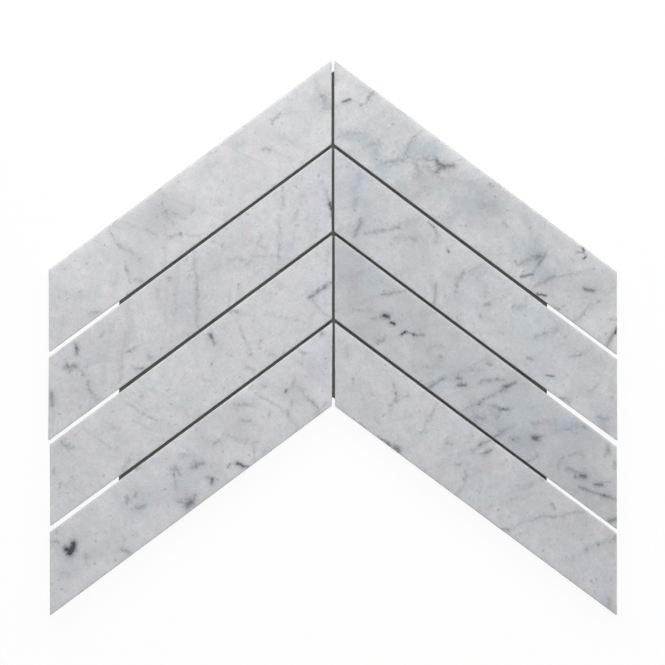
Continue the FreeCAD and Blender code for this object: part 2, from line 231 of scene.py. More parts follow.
# Compact spots.
SPOTS = {
    "left_1": (
        (162.4, 24, 163.6, 26, 1.1, 0.22),
    ),
    "left_2": (
        (19.4, 24.6, 21.2, 28, 1.1, 0.95), (21.2, 28, 23, 30.4, 0.9, 0.5),
        (77, 21.5, 79, 20.5, 1.3, 0.15), (156.4, 24.6, 157.6, 24.6, 1.1, 0.28),
        (183, 5.5, 185, 8, 1.2, 0.51), (190, 12.4, 192, 11.6, 1.8, 0.42),
        (191.5, 11.8, 195.3, 10.4, 1.8, 0.4), (209.5, 17, 213.5, 23, 1.6, 0.44),
    ),
    "left_3": (
        (20.5, 21.4, 21.5, 21.2, 1.1, 0.43), (22, 21, 28, 20.8, 1.1, 0.36),
        (29, 21.2, 31.5, 20.4, 1.2, 0.54), (77.2, 26.4, 77.8, 27, 1.1, 0.18),
        (88.5, 4.3, 89.2, 6, 1.4, 0.83), (89, 6.5, 90, 9.5, 1.1, 0.45),
    ),
    "left_4": (
        (43.7, 15.3, 44.4, 15.7, 0.9, 0.73), (45.6, 22.5, 46.4, 23.7, 1.1, 0.21),
        (50.3, 25.5, 51, 27, 1.2, 0.24), (90.5, 32, 89, 35, 1.2, 0.88), (89, 34.5, 87, 37.3, 0.8, 0.73),
        (106.5, 20, 112, 18.6, 1.8, 0.33), (107.6, 31, 108.4, 32, 1.5, 0.66),
        (119.3, 13, 120.3, 17.5, 1.3, 0.3), (124.5, 34, 127, 34, 2.4, 0.66),
        (127, 33, 130.5, 29.5, 1.4, 0.3), (146.5, 20, 150, 19.4, 2.2, 0.2),
        (169, 36.5, 172, 32, 1.3, 0.32), (191.7, 13.2, 193, 14.6, 1.9, 1.3),
        (193.6, 14.6, 195.4, 15.4, 2, 1.3), (194.7, 15.6, 196.8, 16.3, 2.1, 1.3),
        (195.7, 15.1, 197, 13.4, 1.9, 1.3),
    ),
    "right_1": (
        (18, 15.6, 20.4, 12.4, 0.8, 0.7), (76, 13.5, 80, 11, 1.2, 0.3), (79.5, 10.6, 82, 11.8, 1.6, 0.64),
        (82, 11.8, 86, 10.6, 1.8, 0.66), (86, 10.4, 89.5, 7.2, 1.5, 0.5),
        (84.3, 11.8, 83.6, 16, 1.6, 0.53), (160.6, 17.4, 158.4, 20.6, 2.4, 0.26),
        (161, 18, 161.3, 24, 1.3, 0.43), (161.3, 24, 161.6, 30, 1.1, 0.22),
        (161.5, 30, 157.5, 34.4, 1, 0.62), (175.6, 0.8, 177, 1.6, 0.7, 0.86),
        (180, 3.6, 179.6, 5.4, 0.7, 0.79), (190.2, 18.6, 194.8, 16.6, 1.2, 0.61),
        (218.3, 24.6, 218.8, 28, 1.3, 0.92), (218.8, 29, 219.4, 36, 1.4, 0.42),
        (170.5, 37, 175, 35, 0.8, 0.83),
    ),
    "right_2": (
        (37.6, 25, 38.8, 33, 1.5, 0.38), (86.2, 8, 86.8, 8.5, 0.9, 0.73), (92.5, 28, 98, 37, 1.1, 0.28),
        (121, 20.4, 123, 18.6, 1.5, 0.32), (122.7, 26.4, 123.3, 27, 1, 0.29),
        (172.6, 31, 176.2, 29.2, 0.8, 0.55),
    ),
    "right_3": (
        (49.8, 20, 51.6, 19, 1.6, 0.94), (55.2, 20.8, 56.8, 20.3, 1.1, 1.07),
        (63.7, 22.6, 64.3, 20.2, 0.8, 1.17), (69.7, 18.4, 70.3, 18, 1, 0.45),
        (72.3, 16, 73.7, 15, 1, 0.39), (88.6, 19, 89.4, 19.4, 1, 0.35),
        (112.4, 6.4, 114.4, 5.8, 1.2, 0.3), (103.9, 23.3, 105.6, 22.5, 1, 0.48),
        (106.6, 26, 109.8, 23.6, 1.2, 0.64), (94.4, 36.6, 95.5, 33.5, 1.4, 0.48),
        (95.5, 33.5, 97.5, 28.5, 1.2, 0.32), (122, 10.6, 125.4, 8.4, 1.2, 0.24),
        (131.2, 5.6, 130, 8, 1.3, 0.5), (129.6, 8.6, 128.6, 11, 1.4, 0.54),
        (118.5, 33, 122, 27, 1.9, 0.15), (129, 24, 134, 22.4, 1.5, 0.3), (134, 22, 135.2, 28, 1.5, 0.19),
        (158.6, 24.6, 159.8, 23.8, 1.8, 0.8), (184, 27, 191, 25, 1.5, 0.3),
        (192.6, 25.4, 194.6, 24.4, 1.6, 0.71), (202, 24.6, 205, 22.8, 1.4, 0.56),
        (196, 31, 203, 29.4, 1.3, 0.36), (203, 29.4, 209.5, 26.6, 1.3, 0.37),
        (194.5, 3, 197.5, 6, 1.6, 0.3), (221, 36, 223.5, 32.5, 1.8, 0.52),
    ),
    "right_4": (
        (64.6, 36.6, 66, 37, 1.2, 0.36), (69, 36.4, 72.4, 36.2, 1.3, 0.64), (107, 6, 106, 12, 1.6, 0.18),
        (113.6, 4.6, 112.6, 8, 1.1, 0.49), (109, 24, 111.5, 25, 1.3, 0.21),
        (145.6, 37, 147.6, 35.4, 0.8, 0.35), (190.4, 17, 191, 18.4, 1.1, 0.18),
    ),
}

# Pale clouds.
CLOUDS = {
    "left_1": (
        (15, 22, 20, 13, 4.5, 0.1), (120, 17, 131, 13, 6, 0.12), (132, 20, 136, 27, 4.5, 0.1),
        (155, 22, 158, 34, 4.5, 0.1),
    ),
    "left_2": (
        (25, 31, 36, 34, 3.5, 0.08), (50, 29, 56, 34, 4, 0.1), (88, 7, 92, 5, 3, 0.08),
        (98, 14, 122, 22, 7, 0.06), (174, 19, 186, 12, 4, 0.1), (3, 8, 20, 30, 9, 0.06),
    ),
    "left_3": (
        (17, 18, 29, 18, 3.6, 0.08), (88, 10, 93, 11, 3.6, 0.12), (96, 23, 103, 26, 3.2, 0.07),
        (196, 16, 202, 24, 3, 0.05),
    ),
    "left_4": (
        (110, 17, 124, 24, 9.5, 0.14), (118, 6, 124, 9, 4, 0.06), (138, 20, 156, 18, 6, 0.09),
        (187, 24, 202, 21, 5.5, 0.1), (178, 8, 184, 14, 4, 0.04),
    ),
    "right_1": (
        (20, 17, 25, 14, 3.2, 0.12), (30, 31, 48, 25, 5, 0.24), (66, 14, 77, 7, 5.5, 0.34),
        (68, 4, 74, 3, 3, 0.13), (57, 32, 63, 29, 3.2, 0.26), (50, 31, 70, 32, 6, 0.19),
        (84, 21, 93, 17, 4, 0.04), (101, 21, 110, 12, 5.5, 0.2), (104, 25, 122, 12, 9, 0.1),
        (104, 34, 112, 26, 4, 0.09), (150, 20, 166, 24, 8, 0.16), (165, 21, 200, 13, 11, 0.06),
        (172, 30, 207, 24, 8, 0.06), (132, 33, 150, 28, 4, 0.04),
    ),
    "right_2": (
        (14, 4, 21, 5, 3, 0.12), (20, 6, 27, 17, 3.2, 0.2), (33, 14, 38, 20, 4, 0.07),
        (64, 8, 68, 14, 3, 0.08), (96, 18, 110, 12, 5, 0.08), (106, 28, 112, 30, 3, 0.12),
        (115, 22, 122, 24, 4, 0.07), (165, 15, 178, 18, 6, 0.07), (205, 29, 219, 33, 4.5, 0.09),
        (148, 6, 152, 12, 3, 0.1), (140, 12, 175, 28, 11, 0.05),
    ),
    "right_3": (
        (24, 12, 36, 6, 4, 0.08), (122, 34, 129, 36, 3.4, 0.3), (130, 26, 138, 24, 5, 0.12),
        (166, 13, 170, 5, 3.2, 0.2), (15, 4, 40, 14, 7, 0.07), (98, 22, 150, 10, 10, 0.07),
        (140, 30, 160, 22, 8, 0.08), (132, 33, 168, 31, 5, 0.1), (180, 26, 215, 28, 8, 0.08),
        (160, 8, 182, 6, 6, 0.08),
    ),
    "right_4": (
        (104, 16, 116, 24, 6, 0.08), (112, 10, 115, 20, 3, 0.08), (132, 18, 190, 26, 11, 0.055),
        (196, 18, 214, 30, 7, 0.06), (130, 4, 137, 8, 3, 0.06),
    ),
}
# How each strip was cut from the slab: ground colour, cloudiness, the way its faint veins run
# (degrees up from the strip's own length) and where in the slab's pattern it lies.
SLABS = {
    "left_1": ("#d3d3d5", 0.7, 60, 11.0),
    "left_2": ("#cdced1", 0.8, -50, 23.0),
    "left_3": ("#cfd0d2", 0.6, 70, 37.0),
    "left_4": ("#d0d1d4", 0.9, 75, 41.0),
    "right_1": ("#cccdcf", 1.5, 65, 53.0),
    "right_2": ("#c8cacd", 0.8, 60, 67.0),
    "right_3": ("#c1c3c6", 1.1, 60, 71.0),
    "right_4": ("#cacbce", 0.6, 60, 89.0),
}

# What the ground colour is multiplied by in its warmer and in its cooler patches.
WARM_TINT = (1.012, 0.994, 1.0, 1.0)
COOL_TINT = (0.984, 1.004, 1.006, 1.0)
# How far clouds, mottling and crystals make it lighter and darker, and how much less of that the
# blue takes part in than the red and the green.
CLOUD_SWING = 0.11
MOTTLING_SWING = 0.08
CRYSTAL_SWING = 0.08
CREAM = 0.06
GRAPHITE = "#202336"
# What thinly spread graphite takes from the white: most of the red, least of the blue.
HAZE_TINT = (0.80, 0.845, 0.872)
# How much haze a cloud gives for its darkness in the table.
CLOUD_HAZE = 5.0
# The pale dust that the saw leaves, and how much of a sawn face it covers.
STONE_DUST = "#dcdddd"
DUST_COVER = 0.25


def stroke_group(name, gather):
    """A node group: what one soft stroke of mineral adds to a point of the strip's face."""
    group = bpy.data.node_groups.new(name, "ShaderNodeTree")
    for kind, sockets in (
        ("NodeSocketVector", ("Place", "Start", "Reach")),
        ("NodeSocketFloat", ("Half width", "Depth", "Raggedness", "So far")),
    ):
        for socket in sockets:
            group.interface.new_socket(socket, in_out="INPUT", socket_type=kind)
    group.interface.new_socket("Darkness", in_out="OUTPUT", socket_type="NodeSocketFloat")
    given = add(group, "NodeGroupInput").outputs
    from_start = add(
        group, "ShaderNodeVectorMath", {0: given["Place"], 1: given["Start"]}, operation="SUBTRACT"
    ).outputs[0]
    shadow, whole = (
        add(
            group, "ShaderNodeVectorMath", {0: vector, 1: given["Reach"]}, operation="DOT_PRODUCT"
        ).outputs["Value"]
        for vector in (from_start, given["Reach"])
    )
    share = add(group, "ShaderNodeMath", {0: shadow, 1: whole}, operation="DIVIDE").outputs[0]
    within = add(group, "ShaderNodeClamp", {"Value": share}).outputs[0]
    nearest = add(
        group, "ShaderNodeVectorMath", {0: given["Reach"], "Scale": within}, operation="SCALE"
    ).outputs[0]
    away = add(
        group, "ShaderNodeVectorMath", {0: from_start, 1: nearest}, operation="DISTANCE"
    ).outputs["Value"]
    widths = add(group, "ShaderNodeMath", {0: away, 1: given["Half width"]}, operation="DIVIDE").outputs[0]
    ragged = add(
        group, "ShaderNodeMath", {0: widths, 1: given["Raggedness"]}, operation="MULTIPLY"
    ).outputs[0]
    # Full at the middle, a third of it one half width away, and a faint skirt beyond.
    spread = add(
        group, "ShaderNodeMath", {0: ragged, 1: ragged, 2: 1.0}, operation="MULTIPLY_ADD"
    ).outputs[0]
    bell = add(group, "ShaderNodeMath", {0: spread, 1: -1.6}, operation="POWER").outputs[0]
    dark = add(group, "ShaderNodeMath", {0: bell, 1: given["Depth"]}, operation="MULTIPLY").outputs[0]
    total = add(group, "ShaderNodeMath", {0: dark, 1: given["So far"]}, operation=gather).outputs[0]
    add(group, "NodeGroupOutput", {"Darkness": total})
    return group


# Each kind of mineral: its strokes, how they gather, over how many millimetres and how far they
# wander, and how ragged they are at least and at most. Where the runs of a vein meet it is no
# darker, but clouds lie over one another.
MINERALS = {
    "veins": (VEINS, stroke_group("vein_stroke", "MAXIMUM"), 9, 6, 0.7, 1.7),
    "spots": (SPOTS, stroke_group("spot_stroke", "MAXIMUM"), 3, 2.2, 0.8, 1.25),
    "clouds": (CLOUDS, stroke_group("cloud_stroke", "ADD"), 13, 20, 0.7, 1.5),
}


def strip_place(tree, wing, box):
    """Millimetres along, across and up a strip, from its inner upper corner on its underside."""
    side = WINGS[wing]
    low, high = box
    inner_x = low.x if side > 0 else high.x
    position = add(tree, "ShaderNodeTexCoord").outputs["Object"]
    from_corner = add(
        tree, "ShaderNodeVectorMath", {0: position, 1: (inner_x, high.y, low.z)}, operation="SUBTRACT"
    )
    cos, sin = math.cos(WING_SLOPE) / MM, math.sin(WING_SLOPE) / MM
    axes = ((side * cos, -sin, 0), (-side * sin, -cos, 0), (0, 0, 1 / MM))
    parts = [
        add(
            tree, "ShaderNodeVectorMath", {0: from_corner.outputs[0], 1: axis}, operation="DOT_PRODUCT"
        ).outputs["Value"]
        for axis in axes
    ]
    return add(tree, "ShaderNodeCombineXYZ", dict(zip("XYZ", parts))).outputs[0]


def slab_figure(tree, in_slab, vein_angle):
    """What runs all through the slab: clouds, mottling, crystals, and faint veins with specks."""
    # Clouds a few centimetres across and mottling of a few millimetres.
    clouds = add(
        tree,
        "ShaderNodeTexNoise",
        {"Vector": in_slab, "Scale": 1 / 26, "Detail": 3.0, "Roughness": 0.55, "Distortion": 0.6},
    ).outputs["Fac"]
    mottling = add(
        tree,
        "ShaderNodeTexNoise",
        {"Vector": in_slab, "Scale": 1 / 5.5, "Detail": 4.0, "Roughness": 0.6, "Distortion": 0.3},
    ).outputs["Fac"]
    # Calcite crystals of about half a millimetre, drawn twice as coarse so that they show.
    crystals = add(
        tree, "ShaderNodeTexNoise", {"Vector": in_slab, "Scale": 1 / 1.1, "Detail": 2.0, "Roughness": 0.6}
    ).outputs["Fac"]

    # Faint veins: one direction of the noise is drawn out ten times.
    turned = add(
        tree, "ShaderNodeMapping", {"Vector": in_slab, "Rotation": (0, 0, math.radians(vein_angle))}
    ).outputs[0]
    drawn_out = add(
        tree, "ShaderNodeVectorMath", {0: turned, 1: (0.1, 1.0, 0.35)}, operation="MULTIPLY"
    ).outputs[0]
    streaks = add(
        tree,
        "ShaderNodeTexNoise",
        {"Vector": drawn_out, "Scale": 1 / 6, "Detail": 3.0, "Roughness": 0.55, "Distortion": 0.8},
    ).outputs["Fac"]
    veining = add(
        tree,
        "ShaderNodeMapRange",
        {"Value": streaks, "From Min": 0.56, "From Max": 0.76, "To Min": 0.0, "To Max": 0.10},
        interpolation_type="SMOOTHSTEP",
    ).outputs["Result"]

    # Specks of a millimetre or two between the strokes.
    specks = add(
        tree, "ShaderNodeTexNoise", {"Vector": in_slab, "Scale": 1 / 2.6, "Detail": 2.0, "Roughness": 0.5}
    ).outputs["Fac"]
    specks = add(
        tree,
        "ShaderNodeMapRange",
        {"Value": specks, "From Min": 0.62, "From Max": 0.8, "To Min": 0.0, "To Max": 0.3},
        interpolation_type="SMOOTHSTEP",
    ).outputs["Result"]
    faint = add(tree, "ShaderNodeMath", {0: veining, 1: specks}, operation="ADD").outputs[0]
    return clouds, mottling, crystals, faint


def drawn_minerals(tree, strip, place, in_slab, mottling, faint):
    """How dark veins and spots make a point of the strip's face, and how hazy its white is there."""
    # Veins bend and break off, spots only have an uneven outline, and clouds drift apart.
    fraying = add(
        tree, "ShaderNodeTexNoise", {"Vector": in_slab, "Scale": 1 / 1.7, "Detail": 3.0, "Roughness": 0.65}
    ).outputs["Fac"]
    drawn = {"veins": faint, "spots": 0.0, "clouds": 0.0}
    for kind, (strokes, stroke, wavelength, reach, least, most) in MINERALS.items():
        wander = add(
            tree,
            "ShaderNodeTexNoise",
            {"Vector": in_slab, "Scale": 1 / wavelength, "Detail": 3.0, "Roughness": 0.55},
        ).outputs["Color"]
        centred = add(
            tree, "ShaderNodeVectorMath", {0: wander, 1: (0.5, 0.5, 0.5)}, operation="SUBTRACT"
        ).outputs[0]
        moved = add(
            tree,
            "ShaderNodeVectorMath",
            {0: centred, 1: (reach, reach, 0), 2: place},
            operation="MULTIPLY_ADD",
        ).outputs[0]
        on_face = add(
            tree, "ShaderNodeVectorMath", {0: moved, 1: (1, 1, 0)}, operation="MULTIPLY"
        ).outputs[0]
        raggedness = add(
            tree,
            "ShaderNodeMapRange",
            {"Value": fraying, "From Min": 0.3, "From Max": 0.7, "To Min": least, "To Max": most},
        ).outputs["Result"]
        for x, y, end_x, end_y, half_width, depth in strokes[strip]:
            drawn[kind] = add(
                tree,
                "ShaderNodeGroup",
                {
                    "Place": on_face,
                    "Start": (x, y, 0),
                    "Reach": (end_x - x, end_y - y, 0),
                    "Half width": half_width,
                    "Depth": depth,
                    "Raggedness": raggedness,
                    "So far": drawn[kind],
                },
                node_tree=stroke,
            ).outputs["Darkness"]
    # A vein is never one even grey: mottling and fraying break it up.
    broken, patchy = (
        add(
            tree,
            "ShaderNodeMapRange",
            {"Value": noise, "From Min": low, "From Max": 1 - low, "To Min": at_low, "To Max": at_high},
        ).outputs["Result"]
        for noise, low, at_low, at_high in ((mottling, 0.36, 0.45, 1.2), (fraying, 0.34, 1.35, 0.6))
    )
    veins = add(tree, "ShaderNodeMath", {0: drawn["veins"], 1: broken}, operation="MULTIPLY").outputs[0]
    veins = add(tree, "ShaderNodeMath", {0: veins, 1: patchy}, operation="MULTIPLY").outputs[0]
    darkness = add(
        tree, "ShaderNodeMath", {0: veins, 1: drawn["spots"]}, operation="ADD", use_clamp=True
    ).outputs[0]
    # Spread thinly, in clouds and round veins, the minerals only cool the white to a bluish grey.
    haze = add(
        tree, "ShaderNodeMath", {0: drawn["clouds"], 1: CLOUD_HAZE, 2: darkness}, operation="MULTIPLY_ADD"
    ).outputs[0]
    haze = add(
        tree, "ShaderNodeMath", {0: haze, 1: broken}, operation="MULTIPLY", use_clamp=True
    ).outputs[0]
    return darkness, haze


def ground_white(tree, in_slab, ground, swings):
    """The white between the minerals, made lighter and darker by each pattern in swings."""
    # Patches of a centimetre or two lean to a warm or a cool white.
    cool = add(
        tree,
        "ShaderNodeTexNoise",
        {"Vector": in_slab, "Scale": 1 / 17, "Detail": 3.0, "Roughness": 0.6, "Distortion": 1.0},
    ).outputs["Color"]
    cool = add(tree, "ShaderNodeSeparateXYZ", {0: cool}).outputs["Y"]
    cool = add(
        tree,
        "ShaderNodeMapRange",
        {"Value": cool, "From Min": 0.4, "From Max": 0.6, "To Min": 0.0, "To Max": 1.0},
        interpolation_type="SMOOTHSTEP",
    ).outputs["Result"]
    tint = add(
        tree, "ShaderNodeMix", {"Factor": cool, "A": WARM_TINT, "B": COOL_TINT}, data_type="RGBA"
    ).outputs["Result"]
    lightness = 1.0
    for noise, amount in swings:
        swing = add(
            tree,
            "ShaderNodeMapRange",
            {"Value": noise, "From Min": 0.25, "From Max": 0.75, "To Min": 1 - amount, "To Max": 1 + amount},
        ).outputs["Result"]
        lightness = add(tree, "ShaderNodeMath", {0: lightness, 1: swing}, operation="MULTIPLY").outputs[0]
    tinted = add(
        tree, "ShaderNodeVectorMath", {0: tint, 1: linear(ground)[:3]}, operation="MULTIPLY"
    ).outputs[0]
    # The lighter calcite is a little creamier, the darker a little bluer.
    blue = add(
        tree, "ShaderNodeMath", {0: lightness, 1: 1 - CREAM, 2: CREAM}, operation="MULTIPLY_ADD"
    ).outputs[0]
    swung = add(tree, "ShaderNodeCombineXYZ", {"X": lightness, "Y": lightness, "Z": blue}).outputs[0]
    return add(tree, "ShaderNodeVectorMath", {0: tinted, 1: swung}, operation="MULTIPLY").outputs[0]


def honed_marble(name, wing, row):
    """Carrara-type white marble: saw-cut strip with a honed face.

    Honing leaves a soft, even sheen with no mirror. Light enters the calcite by a few millimetres,
    so edges that face the lamp glow and edges that face away darken. Sawn sides are drier and paler.
    """
    strip = f"{wing}_{row}"
    ground, cloudiness, vein_angle, seed = SLABS[strip]
    material = new_material(name)
    tree = material.node_tree
    place = strip_place(tree, wing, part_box(f"strip_{strip}"))
    in_slab = add(
        tree, "ShaderNodeVectorMath", {0: place, 1: (seed * 31, seed * 17, seed * 7)}, operation="ADD"
    ).outputs[0]
    clouds, mottling, crystals, faint = slab_figure(tree, in_slab, vein_angle)
    darkness, haze = drawn_minerals(tree, strip, place, in_slab, mottling, faint)
    swings = ((clouds, CLOUD_SWING * cloudiness), (mottling, MOTTLING_SWING), (crystals, CRYSTAL_SWING))
    white = ground_white(tree, in_slab, ground, swings)
    cooled = add(tree, "ShaderNodeVectorMath", {0: white, 1: HAZE_TINT}, operation="MULTIPLY").outputs[0]
    hazed = add(
        tree, "ShaderNodeMix", {"Factor": haze, "A": white, "B": cooled}, data_type="RGBA"
    ).outputs["Result"]
    veined = add(
        tree, "ShaderNodeMix", {"Factor": darkness, "A": hazed, "B": linear(GRAPHITE)}, data_type="RGBA"
    ).outputs["Result"]

    # Sawn faces: drier, paler, with the blade's fine lines along the strip.
    facing = add(tree, "ShaderNodeTexCoord").outputs["Normal"]
    up = add(tree, "ShaderNodeSeparateXYZ", {0: facing}).outputs["Z"]
    honed = add(
        tree,
        "ShaderNodeMapRange",
        {"Value": up, "From Min": 0.35, "From Max": 0.75, "To Min": 0.0, "To Max": 1.0},
        interpolation_type="SMOOTHSTEP",
    ).outputs["Result"]
    saw_lines = add(
        tree,
        "ShaderNodeTexWave",
        {"Vector": place, "Scale": 0.45, "Distortion": 1.5, "Detail": 2.0, "Detail Scale": 0.6},
        bands_direction="Z",
    ).outputs["Fac"]
    sawn = add(
        tree, "ShaderNodeMix", {"Factor": DUST_COVER, "A": veined, "B": linear(STONE_DUST)}, data_type="RGBA"
    ).outputs["Result"]
    colour = add(
        tree, "ShaderNodeMix", {"Factor": honed, "A": sawn, "B": veined}, data_type="RGBA"
    ).outputs["Result"]

    # The arris was rubbed down by hand and stays duller than the face.
    roughness = add(
        tree,
        "ShaderNodeMapRange",
        {"Value": up, "From Min": 0.85, "From Max": 0.99, "To Min": 0.68, "To Max": 0.46},
    ).outputs["Result"]
    uneven = add(
        tree, "ShaderNodeMix", {"Factor": honed, "A": saw_lines, "B": crystals}, data_type="FLOAT"
    ).outputs["Result"]
    bump = add(
        tree, "ShaderNodeBump", {"Height": uneven, "Strength": 0.35, "Distance": 0.03 * MM}
    ).outputs[0]
    shader = add(
        tree,
        "ShaderNodeBsdfPrincipled",
        {
            "Base Color": colour,
            "Roughness": roughness,
            "Normal": bump,
            "IOR": 1.5,
            "Subsurface Weight": 0.9,
            "Subsurface Radius": (1.0, 1.0, 1.0),
            "Subsurface Scale": 7.0 * MM,
        },
    )
    add(tree, "ShaderNodeOutputMaterial", {"Surface": shader.outputs[0]})
    return material


# Strips

# The arris is eased further in over the face than down the side.
ARRIS_IN = 0.45 * MM
ARRIS_DOWN = 0.4 * MM
BACK_ARRIS = 0.15 * MM
# How far the saw drifted along an edge, and how many small nicks handling left in an arris.
SAW_DRIFT = 0.02 * MM
NICKS = 14
# Rounding of the upright corners, and how finely the outline is divided.
CORNER = 0.4 * MM
CORNER_STEPS = 5
EDGE_STEP = 0.45 * MM

# How far each strip was dressed back from its full size, in millimetres: its upper and its lower
# long edge at the inner end, where the net stops and at the outer end, then its outer end at the
# top and at the foot.
DRESSED = {
    "left_1": ((0, 0, 0), (0, 0.05, 0.65), (0.25, 0.8)),
    "left_2": ((0, 0, 0), (0, 0.1, 0.35), (0.2, 0.15)),
    "left_3": ((0, 0, 0), (0, 0.05, 0.65), (0.5, 1.2)),
    "left_4": ((0, 0, 0), (0.4, 0, 0), (0.35, 0.6)),
    "right_1": ((0, 0, 0), (0, 0, 0.45), (0, 0)),
    "right_2": ((0.25, 0.3, 0), (0, 0.05, 1.15), (0, 0.3)),
    "right_3": ((0.25, 0.2, 0.3), (0, 0, 0.3), (0.1, 0.3)),
    "right_4": ((0.35, 0.05, 0.05), (0, 0.45, 0.75), (0.4, 0.75)),
}
NET_ENDS_AT = 150 * MM
# How far along the strip its upper and its lower edge begin and end.
EDGE_RUNS = ((0, 199 * MM), (28 * MM, 227 * MM))


def ring_faces(rings, count):
    """Faces between rings of points that lie over one another, then the first ring and the last."""
    faces = []
    for base in range(0, (rings - 1) * count, count):
        for k in range(count):
            after = (k + 1) % count
            faces.append((base + k, base + after, base + count + after, base + count + k))
    last = (rings - 1) * count
    return faces + [tuple(range(count)), tuple(range(last, last + count))]


def closed_mesh(name, points, faces):
    """A mesh with all its faces turned outwards."""
    mesh = bpy.data.meshes.new(name)
    mesh.from_pydata(points, [], faces)
    solid = bmesh.new()
    solid.from_mesh(mesh)
    bmesh.ops.recalc_face_normals(solid, faces=solid.faces)
    solid.to_mesh(mesh)
    solid.free()
    return mesh


def corner_ring(side, low, high):
    """Points round a strip's outline: a seat a little inside it, the way out, and the mitre inwards."""
    run = high.x - low.x
    drop = run * math.tan(WING_SLOPE)
    cut = (high.y - low.y) - drop
    inner_x = low.x if side > 0 else high.x
    slope_out = np.array([side * math.sin(WING_SLOPE), math.cos(WING_SLOPE)])
    end_out = np.array([side, 0.0])
    outs = (slope_out, end_out, -slope_out, -end_out)
    corners = np.array(
        [
            (inner_x, high.y),
            (inner_x + side * run, high.y - drop),
            (inner_x + side * run, high.y - drop - cut),
            (inner_x, high.y - cut),
        ]
    )
    inset, mitre = [], []
    for k, corner in enumerate(corners):
        both = np.array([outs[k - 1], outs[k]])
        mitre.append(np.linalg.solve(both, [-1.0, -1.0]))
        inset.append(corner + CORNER * mitre[k])
    seats, ways, mitres = [], [], []
    for k in range(4):
        after = (k + 1) % 4
        here, there = inset[k], inset[after]
        steps = int(np.linalg.norm(there - here) / EDGE_STEP)
        for share in np.arange(steps) / steps:
            seats.append(here + (there - here) * share)
            ways.append(outs[k])
            mitres.append(mitre[k] + (mitre[after] - mitre[k]) * share)
        angle = math.acos(outs[after] @ outs[k])
        swing = 1 if outs[k][0] * outs[after][1] - outs[k][1] * outs[after][0] > 0 else -1
        for share in np.arange(CORNER_STEPS) / CORNER_STEPS:
            a = swing * angle * share
            spin = np.array([[math.cos(a), -math.sin(a)], [math.sin(a), math.cos(a)]])
            seats.append(there)
            ways.append(spin @ outs[k])
            mitres.append(mitre[after])
    return np.array(seats), np.array(ways), np.array(mitres)


def dress_back(seats, side, low, high, dressed):
    """Moves the edges inwards by what the strip was dressed."""
    inner_corner = np.array([low.x if side > 0 else high.x, high.y])
    slope_out = np.array([side * math.sin(WING_SLOPE), math.cos(WING_SLOPE)])
    slope_down = np.array([side * math.cos(WING_SLOPE), -math.sin(WING_SLOPE)])
    along = (seats - inner_corner) @ slope_down
    across = -(seats - inner_corner) @ slope_out
    share_across = across / across.max()
    upper, lower = (
        np.interp(along, (begin, NET_ENDS_AT, end), np.array(amounts) * MM)
        for amounts, (begin, end) in zip(dressed[:2], EDGE_RUNS)
    )
    shift = share_across * lower - (1 - share_across) * upper
    end_top, end_foot = dressed[2]
    cut_back = (end_top + (end_foot - end_top) * share_across) * MM / math.cos(WING_SLOPE)
    share_out = np.abs(seats[:, 0] - inner_corner[0]) / (high.x - low.x)
    return seats + shift[:, None] * slope_out - (cut_back * share_out)[:, None] * slope_down


def smooth_noise(rng, count, wavelength_steps):
    """Smooth random values from -1 to 1 round a closed ring."""
    knots = max(4, int(count / wavelength_steps))
    values = rng.uniform(-1, 1, knots)
    values = np.append(values, values[0])
    return np.interp(np.arange(count) / count * knots, np.arange(knots + 1), values)


def worn_arris(rng, count):
    """How much the arris is eased round the honed face, about 1: uneven, with a few small nicks."""
    easing = 0.85 + 0.12 * smooth_noise(rng, count, 14) + 0.08 * smooth_noise(rng, count, 3)
    for _ in range(NICKS):
        middle, half = rng.integers(0, count), rng.uniform(1.2, 3.5)
        depth = rng.uniform(0.2, 0.7)
        away = np.abs((np.arange(count) - middle + count / 2) % count - count / 2) / half
        easing += depth * np.sqrt(np.clip(1 - away**2, 0, None))
    return easing


def strip_mesh(name, side, box, dressed, seed):
    """A sawn parallelogram bar with an eased, slightly worn arris round its honed face."""
    low, high = box
    rng = np.random.default_rng(seed)
    seats, ways, mitres = corner_ring(side, low, high)
    count = len(seats)
    easing = worn_arris(rng, count)
    seats = dress_back(seats, side, low, high, dressed)
    drift = SAW_DRIFT * (smooth_noise(rng, count, 40) - 1)
    # From the foot up: the arris of the back, the sawn side and the arris of the honed face.
    rings = []
    for share in (0.0, 0.5, 1.0):
        angle = share * math.pi / 2
        inset = BACK_ARRIS * (1 - math.sin(angle)) * np.ones(count)
        rings.append((inset, np.full(count, low.z + BACK_ARRIS * (1 - math.cos(angle)))))
    for share in (0.35, 0.7):
        rings.append((np.zeros(count), np.full(count, low.z + share * (high.z - low.z))))
    for share in np.linspace(0, 1, 7):
        angle = share * math.pi / 2
        inset = ARRIS_IN * easing * (1 - math.cos(angle))
        rings.append((inset, high.z - ARRIS_DOWN * easing * (1 - math.sin(angle))))
    points = []
    for inset, height in rings:
        inset = inset - drift
        outwards = np.clip(CORNER - inset, 0, None)[:, None]
        inwards = np.clip(inset - CORNER, 0, None)[:, None]
        flat = seats + ways * outwards + mitres * inwards
        points.append(np.column_stack([flat, height]))
    mesh = closed_mesh(name, np.vstack(points).tolist(), ring_faces(len(rings), count))
    for polygon in mesh.polygons:
        polygon.use_smooth = len(polygon.vertices) == 4
    return mesh


def place_piece(name, mesh, material, node):
    """Puts a piece on the sheet in place of its plain solid."""
    piece = bpy.data.objects.new(name, mesh)
    bpy.context.scene.collection.objects.link(piece)
    mesh.materials.append(material)
    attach(piece, "root")
    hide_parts(node)


